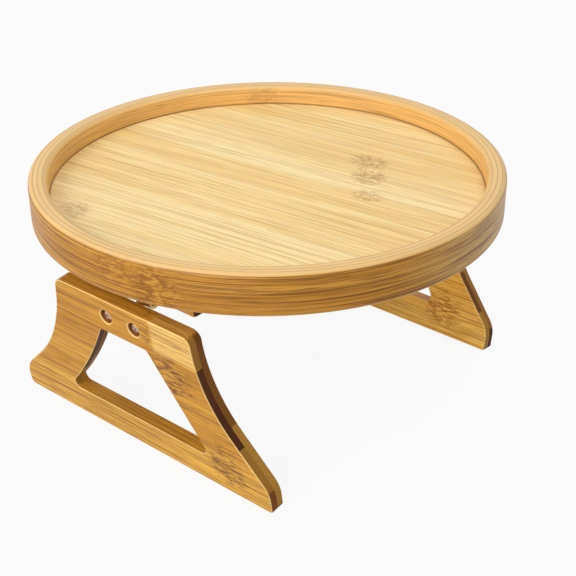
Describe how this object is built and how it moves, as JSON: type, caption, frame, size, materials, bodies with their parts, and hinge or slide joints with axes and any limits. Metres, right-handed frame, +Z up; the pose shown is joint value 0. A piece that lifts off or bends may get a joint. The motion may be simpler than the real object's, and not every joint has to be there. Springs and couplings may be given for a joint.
{
  "type": "sofa arm tray",
  "caption": "Round rimmed tray on two sprung, hinged legs that grip a sofa arm and hold cups, plates and snacks level above it.",
  "frame": {"origin": "on the floor under the middle of the tray", "axes": "+Z up, +X across the sofa arm from the left leg to the right leg, +Y along the arm towards the legs' longer heels"},
  "size_m": [0.25, 0.25, 0.1286],
  "materials": {
    "pale_bamboo": "pale bamboo under a satin lacquer",
    "rim_bamboo": "bent honey bamboo under a satin lacquer",
    "honey_bamboo": "laminated honey bamboo under a satin lacquer",
    "dark_bamboo": "sawn bamboo under a thin satin lacquer",
    "hinge_steel": "brass-plated steel",
    "fastener_steel": "zinc-plated steel",
    "spring_steel": "oiled spring wire"
  },
  "bodies": {
    "tray_body": {"tray_rim": "rim_bamboo", "tray_floor": "pale_bamboo", "left_rail": "dark_bamboo", "left_rail_screws": "fastener_steel", "left_fixed_leaf": "hinge_steel", "left_fixed_leaf_screws": "fastener_steel", "left_hinge_pin": "hinge_steel", "left_spring": "spring_steel", "right_rail": "dark_bamboo", "right_rail_screws": "fastener_steel", "right_fixed_leaf": "hinge_steel", "right_fixed_leaf_screws": "fastener_steel", "right_hinge_pin": "hinge_steel", "right_spring": "spring_steel"},
    "left_clamp": {"left_leg": "honey_bamboo", "left_moving_leaf": "hinge_steel", "left_leg_screws": "fastener_steel", "left_leg_nuts": "fastener_steel"},
    "right_clamp": {"right_leg": "honey_bamboo", "right_moving_leaf": "hinge_steel", "right_leg_screws": "fastener_steel", "right_leg_nuts": "fastener_steel"}
  },
  "joints": [
    {"name": "left_hinge", "type": "hinge", "parent": "tray_body", "child": "left_clamp", "pos_m": [-0.10058, 0, 0.09276], "axis": [0, 1, 0], "range_deg": [-80, 35], "stiffness_Nm_per_rad": 0.28, "deforming": ["left_spring"]},
    {"name": "right_hinge", "type": "hinge", "parent": "tray_body", "child": "right_clamp", "pos_m": [0.10058, 0, 0.09276], "axis": [0, -1, 0], "range_deg": [-80, 35], "stiffness_Nm_per_rad": 0.28, "deforming": ["right_spring"]}
  ]
}
